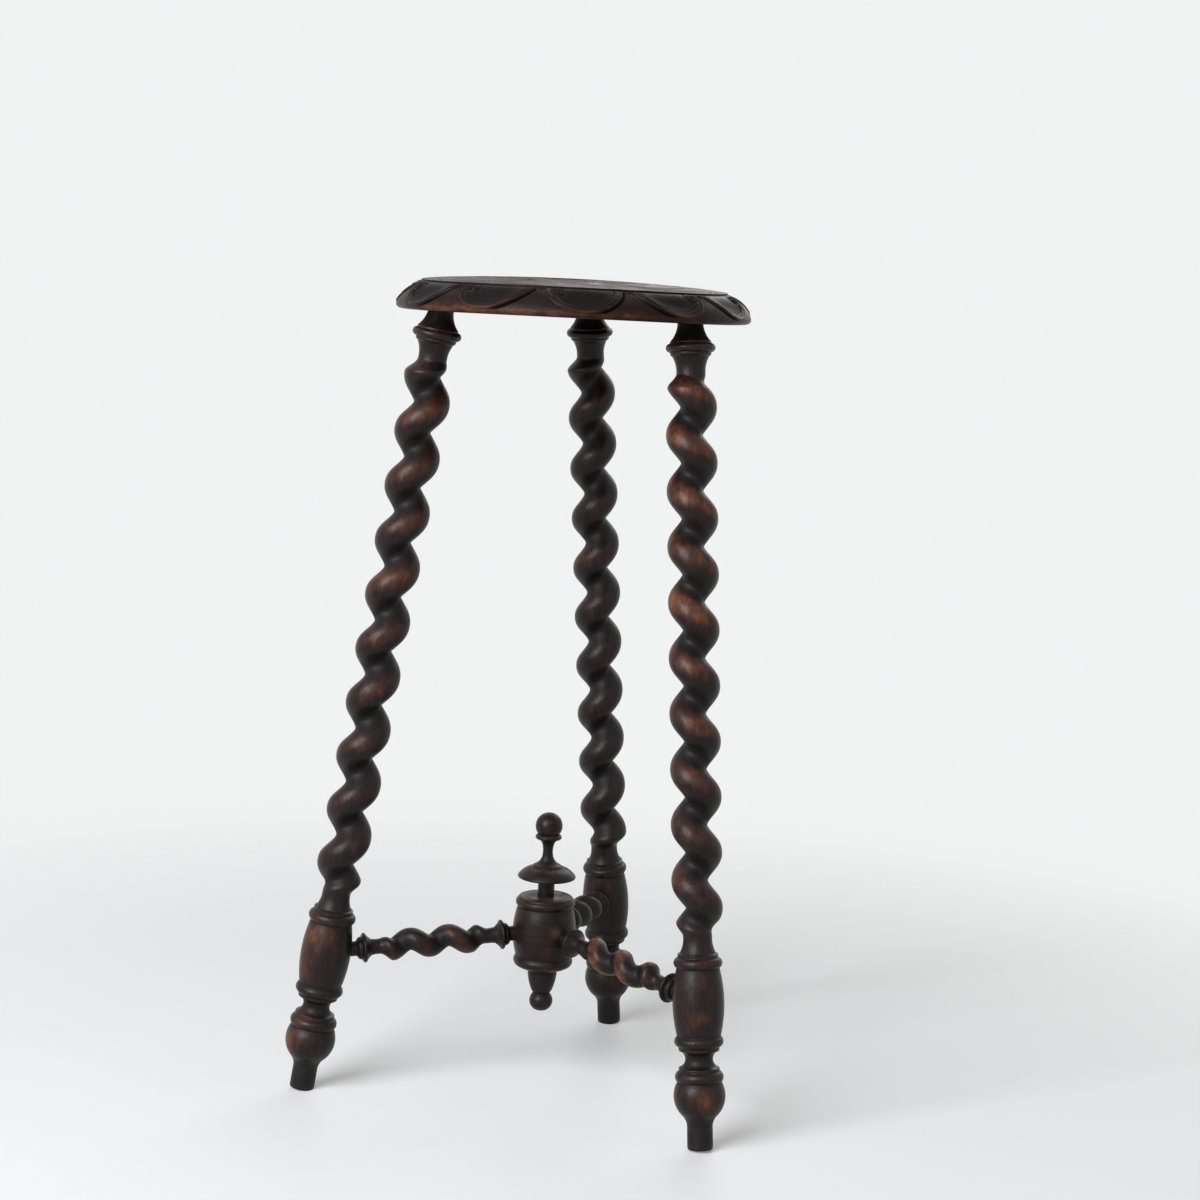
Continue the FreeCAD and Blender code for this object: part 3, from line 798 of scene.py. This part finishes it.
def carved_rim(from_middle, down, lean, side):
    """Height of the rim's carving at a distance from a lobe's middle and down from the plateau.

    The lobes are mirrored about the front: lean and side run from -1 for those on the left to 1
    on the right. A lobe leans away from the front. Its end on that side rolls up in a curl, and
    its other end has a deep slit.
    """
    across = from_middle - LOBE_SKEW * lean * down
    reach = np.hypot(across / LOBE_HALF_WIDTH, down / LOBE_DEPTH)
    outer = 0.5 + 0.5 * side * np.sign(across)
    from_bottom = ease((np.abs(across) / LOBE_HALF_WIDTH - LOBE_BOTTOM) / LOBE_BOTTOM_FADE)
    flank = from_bottom * (1 - outer) ** 2

    bowl_reach = np.hypot(across / BOWL_HALF_WIDTH, down / BOWL_LENGTH)
    bowl = -BOWL_DEPTH * np.clip(1 - bowl_reach**2, 0, 1) * ease(down / BOWL_SLOPE)

    curl_across = np.abs(across) - CURL_ACROSS
    curl_down = down - CURL_DOWN
    from_curl = np.hypot(curl_across, curl_down)
    spiral = np.cos(2 * math.pi * from_curl / CURL_PITCH + np.arctan2(curl_across, curl_down))
    inside = ease((CURL_RADIUS - from_curl) / CURL_FADE)
    inside = inside * ease((CURL_LIMIT - reach) / CURL_LIMIT_FADE) * outer
    curl = (CURL_SWING * spiral - CURL_SINK) * inside

    lines = sum(height * ridge(reach, place, width) for place, height, width in INNER_LINES)
    lines = lines * (INNER_LINES_LEAST + (1 - INNER_LINES_LEAST) * from_bottom)
    edge_place, edge_height, edge_width = EDGE_RIDGE
    edge_ridge = edge_height * ridge(reach, edge_place, edge_width)
    edge_line = ridge(reach, 1.0, EDGE_LINE_WIDTH + SLIT_WIDENING * flank)
    edge_line = -(EDGE_LINE_DEPTH + SLIT_DEPTH * flank) * edge_line

    ground = -GROUND_DEPTH * ease((reach - 1.0) / GROUND_EDGE)
    gap = LOBE_GAP - LOBE_HALF_WIDTH * np.sqrt(np.clip(1 - (down / LOBE_DEPTH) ** 2, 0, 1))
    fan = np.abs(np.abs(from_middle) - LOBE_GAP) / gap
    fan_lines = sum(depth * ridge(fan, place, FAN_WIDTH) for place, depth in FAN_LINES)
    ground -= fan_lines * ease((FAN_LENGTH - down) / FAN_FADE)

    fade = ease(down / CARVING_START) * ease((CARVING_END - down) / CARVING_FADE)
    return (bowl + curl + lines + edge_ridge + edge_line + ground) * fade


def carved_top(radius, off_middle):
    """Height of the shallow petals on the top, at a radius and an angle from a petal's middle."""
    reach = np.hypot((radius - PETAL_MIDDLE) / PETAL_HALF_LENGTH, off_middle / PETAL_HALF_ANGLE)
    petal = -PETAL_DEPTH * np.clip(1 - reach**2, 0, 1) ** PETAL_FULLNESS
    edge = -SCRIBED_DEPTH * ridge(reach, *PETAL_LINE)
    circle = -SCRIBED_DEPTH * ridge(radius, *SCRIBED_CIRCLE)
    return petal + edge + circle


# The place of each column within its lobe, and of each row of the rim down from the plateau
columns = np.linspace(0, 2 * math.pi, SEAT_COLUMNS, endpoint=False)
lobe_angle = columns + math.pi / 2 - math.radians(LOBE_TURN)
off_middle = (lobe_angle + LOBE_STEP / 2) % LOBE_STEP - LOBE_STEP / 2
lobe_middle = lobe_angle - off_middle + math.radians(LOBE_TURN)
lean = np.clip(LEAN_GAIN * np.sin(lobe_middle), -1, 1)
side = np.clip(SIDE_GAIN * np.sin(lobe_middle - math.radians(MIRROR_ANGLE)), -1, 1)
rim_height, rim_radius, rim_proud = worn_outline(outline(SEAT_RIM))
rim_line = np.concatenate([[0], np.cumsum(np.hypot(np.diff(rim_height), np.diff(rim_radius)))])
plateau_foot = SEAT_RIM[1][0] + SEAT_RIM[2][0] - PLATEAU_MARGIN
down = np.interp(plateau_foot, rim_height, rim_line) - rim_line

# The carving stands square to the rim's outline
depth = carved_rim(off_middle[None, :] * LOBE_RADIUS, down[:, None], lean[None, :], side[None, :])
depth *= ((down > 0) & (rim_height > PLAIN_FOOT))[:, None]
slope = np.hypot(np.gradient(rim_height), np.gradient(rim_radius))
out_radius = np.gradient(rim_height) / slope
out_height = -np.gradient(rim_radius) / slope
carved_radius = rim_radius[:, None] + depth * out_radius[:, None]
carved_height = rim_height[:, None] + depth * out_height[:, None]

under = np.linspace(INNER_RING, SEAT_RIM[0] - RING_STEP, SEAT_UNDER_ROWS)
top = np.linspace(SEAT_RIM[-1][1] - RING_STEP, INNER_RING, SEAT_TOP_ROWS)
flat_under = np.zeros((len(under), SEAT_COLUMNS))
flat_top = np.zeros((len(top), SEAT_COLUMNS))
top_depth = carved_top(top[:, None], off_middle[None, :])
seat_radius = np.vstack([under[:, None] + flat_under, carved_radius, top[:, None] + flat_top])
seat_height = np.vstack([flat_under, carved_height, rim_height[-1] + top_depth])

# The hands that lift the stool have rubbed the rim's lower edge, most of all at the front left
off_handled = angle_from(columns, HANDLED_ANGLE)
handled = LEAST_HANDLED + (1 - LEAST_HANDLED) * ridge(off_handled, 0, HANDLED_WIDTH)
low_edge = LOW_EDGE_WEAR * ease((down - LOW_EDGE_START) / LOW_EDGE_FADE)[:, None] * handled[None, :]
rim_wear = np.clip(rim_proud[:, None] / RIM_RUB + np.clip(depth, 0, 1) * RIDGE_WEAR + low_edge, 0, 1)
# Darker in the carving's hollows, with a painted shadow line just under the plateau's edge
rim_darkening_and_seam_shadow = np.clip(-depth / RIM_DARKENING_DEPTH + ease(SEAM_SHADOW_REACH - down)[:, None], 0, 1)
top_darkening = np.clip(-top_depth / TOP_DARKENING_DEPTH, 0, MOST_TOP_DARKENING)
top_bloom = TOP_BLOOM - PETAL_BLOOM_LOSS * np.clip(-top_depth, 0, 1)
seat_layers = {
    "wear_and_light": np.vstack([flat_under, rim_wear, flat_top + TOP_WEAR]),
    "darkening_and_shade": np.vstack([flat_under + UNDER_DARKENING, rim_darkening_and_seam_shadow, top_darkening]),
    "bloom": np.vstack([flat_under, np.zeros_like(rim_wear), top_bloom]),
}
seat = spindle(
    "carved_seat",
    seat_radius,
    seat_height,
    np.zeros(len(seat_radius)),
    seat_layers,
    lift(SEAT_UNDERSIDE),
    seat_oak,
    grain_axis=0,
)
# The old board has cupped a little across its grain: its front and back edges stand higher
for vertex in seat.data.vertices:
    across_grain = vertex.co.y / (SEAT_RIM[1][1] * MM)
    vertex.co.z += SEAT_CUP * MM * (across_grain**2 - 0.5)
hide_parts("seat")


# The stage, the lights and the camera, in metres, watts and degrees

FLOOR_HALF_SIZE = 2.6
FLOOR_GREYS = ((0.70, 0.70, 0.70, 1), (0.75, 0.75, 0.75, 1))
FLOOR_MOTTLE = 3.0
FLOOR_ROUGHNESS = 0.5
FLOOR_GLOSS = 0.1
FLOOR_GLOW = 0.2
FLOOR_FADE = (0.35, 1.25)
# Each lamp: its place, width and height, power and colour
LAMPS = {
    "window": ((-1.75, -2.15, 1.75), (1.9, 2.2), 132, (0.96, 0.98, 1.0)),
    "fill": ((2.2, -1.2, 1.6), (1.2, 1.6), 3, (1.0, 0.98, 0.95)),
    "back": ((0.9, 2.6, 2.0), (2.0, 2.0), 22, (1.0, 0.99, 0.97)),
}
LAMP_TARGET = (0, 0, 0.4)
SKY_COLOUR = (0.95, 0.97, 1.0, 1)
SKY_STRENGTH = 0.13
BACKGROUND_COLOUR = (0.88, 0.885, 0.89, 1)
BACKGROUND_STRENGTH = 1.0
EYE_DISTANCE = 2.37265
EYE_HEIGHT = 0.77683
EYE_YAW = 0.84
EYE_PITCH = 8.13
EYE_ROLL = -2.86
SENSOR_WIDTH = 36
FOCAL_LENGTH = 82.65


def floor():
    """Pale floor that fades out into the background."""
    wiring = Wiring("pale_floor")
    place = wiring.add("ShaderNodeTexCoord").outputs["Object"]
    mottle = wiring.noise(place, FLOOR_MOTTLE, detail=5.0)
    colour = wiring.mix(mottle, *FLOOR_GREYS)
    wiring.set(wiring.shader.inputs["Base Color"], colour)
    wiring.shader.inputs["Roughness"].default_value = FLOOR_ROUGHNESS
    wiring.shader.inputs["Specular IOR Level"].default_value = FLOOR_GLOSS
    rays = wiring.add("ShaderNodeLightPath")
    seen = wiring.math("MAXIMUM", rays.outputs["Is Camera Ray"], rays.outputs["Is Glossy Ray"])
    glow = wiring.add("ShaderNodeEmission", Strength=wiring.math("MULTIPLY", seen, FLOOR_GLOW))
    lifted = wiring.add("ShaderNodeAddShader")
    wiring.set(lifted.inputs[0], wiring.shader.outputs[0])
    wiring.set(lifted.inputs[1], glow.outputs[0])
    from_middle = wiring.add("ShaderNodeVectorMath", {"operation": "LENGTH"}, Vector=place)
    gone = wiring.between(from_middle.outputs["Value"], FLOOR_FADE)
    clear = wiring.add("ShaderNodeBsdfTransparent")
    fade = wiring.add("ShaderNodeMixShader")
    wiring.set(fade.inputs[0], gone)
    wiring.set(fade.inputs[1], lifted.outputs[0])
    wiring.set(fade.inputs[2], clear.outputs[0])
    wiring.set(wiring.tree.nodes["Material Output"].inputs["Surface"], fade.outputs[0])
    mesh = bpy.data.meshes.new("floor")
    signs = ((-1, -1), (1, -1), (1, 1), (-1, 1))
    corners = [(x * FLOOR_HALF_SIZE, y * FLOOR_HALF_SIZE, 0) for x, y in signs]
    mesh.from_pydata(corners, [], [(0, 1, 2, 3)])
    mesh.materials.append(wiring.material)
    slab = bpy.data.objects.new("floor", mesh)
    bpy.context.collection.objects.link(slab)


def softbox(name, place, size, power, colour):
    """Rectangular lamp that faces the stool."""
    lamp = bpy.data.lights.new(name, "AREA")
    lamp.shape = "RECTANGLE"
    lamp.size, lamp.size_y = size
    lamp.energy = power
    lamp.color = colour
    holder = bpy.data.objects.new(name, lamp)
    holder.location = place
    holder.rotation_euler = (Vector(LAMP_TARGET) - Vector(place)).to_track_quat("-Z", "Y").to_euler()
    bpy.context.collection.objects.link(holder)


def camera():
    """The photograph's view: level position, then yaw, pitch and roll."""
    yaw = math.radians(EYE_YAW)
    pitch = math.radians(EYE_PITCH)
    roll = math.radians(EYE_ROLL)
    forward = Vector(
        (math.sin(yaw) * math.cos(pitch), math.cos(yaw) * math.cos(pitch), -math.sin(pitch))
    )
    right = Vector((math.cos(yaw), -math.sin(yaw), 0))
    down = forward.cross(right)
    rolled_right = right * math.cos(roll) + down * math.sin(roll)
    rolled_down = down * math.cos(roll) - right * math.sin(roll)
    lens = bpy.data.cameras.new("camera")
    lens.sensor_width = SENSOR_WIDTH
    lens.lens = FOCAL_LENGTH
    eye = bpy.data.objects.new("camera", lens)
    turned = Matrix((rolled_right, -rolled_down, -forward)).transposed().to_4x4()
    eye.matrix_world = Matrix.Translation((0, -EYE_DISTANCE, EYE_HEIGHT)) @ turned
    bpy.context.collection.objects.link(eye)
    bpy.context.scene.camera = eye


def world():
    """Even soft light, and a near-white background for what sees it directly or in a gloss."""
    sky = bpy.data.worlds.new("studio")
    sky.use_nodes = True
    tree = sky.node_tree
    light = tree.nodes["Background"]
    light.inputs["Color"].default_value = SKY_COLOUR
    light.inputs["Strength"].default_value = SKY_STRENGTH
    seen = tree.nodes.new("ShaderNodeBackground")
    seen.inputs["Color"].default_value = BACKGROUND_COLOUR
    seen.inputs["Strength"].default_value = BACKGROUND_STRENGTH
    rays = tree.nodes.new("ShaderNodeLightPath")
    shown = rays.outputs["Is Camera Ray"]
    for kind in ("Is Glossy Ray", "Is Transmission Ray"):
        either = tree.nodes.new("ShaderNodeMath")
        either.operation = "MAXIMUM"
        tree.links.new(shown, either.inputs[0])
        tree.links.new(rays.outputs[kind], either.inputs[1])
        shown = either.outputs[0]
    mix = tree.nodes.new("ShaderNodeMixShader")
    tree.links.new(shown, mix.inputs[0])
    tree.links.new(light.outputs[0], mix.inputs[1])
    tree.links.new(seen.outputs[0], mix.inputs[2])
    tree.links.new(mix.outputs[0], tree.nodes["World Output"].inputs["Surface"])
    bpy.context.scene.world = sky


floor()
for name, lamp in LAMPS.items():
    softbox(name, *lamp)
world()
camera()
bpy.context.scene.view_settings.view_transform = "Standard"
